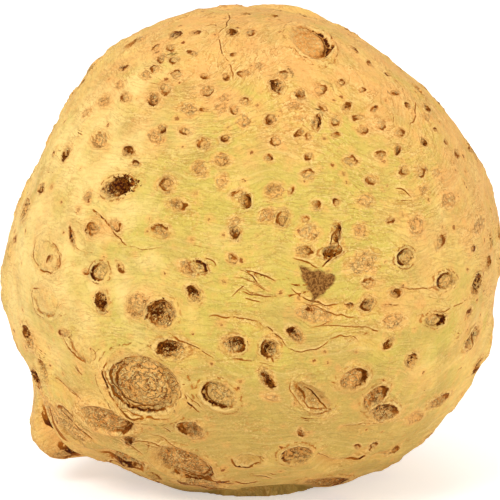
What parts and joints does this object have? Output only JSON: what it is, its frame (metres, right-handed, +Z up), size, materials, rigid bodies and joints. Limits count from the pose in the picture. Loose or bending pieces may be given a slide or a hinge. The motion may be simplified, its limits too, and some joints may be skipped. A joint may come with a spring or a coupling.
{
  "type": "celeriac root",
  "caption": "Round, rough celeriac root, trimmed and washed, with pitted root scars, a cut crown and a small flat spot to rest on",
  "frame": {"origin": "centre of the flat spot that the root rests on", "axes": "+Z up, -Y the side with the large root scars, -X the side with the heel"},
  "size_m": [0.1207, 0.1159, 0.1157],
  "materials": {
    "skin": null
  },
  "bodies": {
    "root": {"celeriac_root": "skin"}
  },
  "joints": []
}
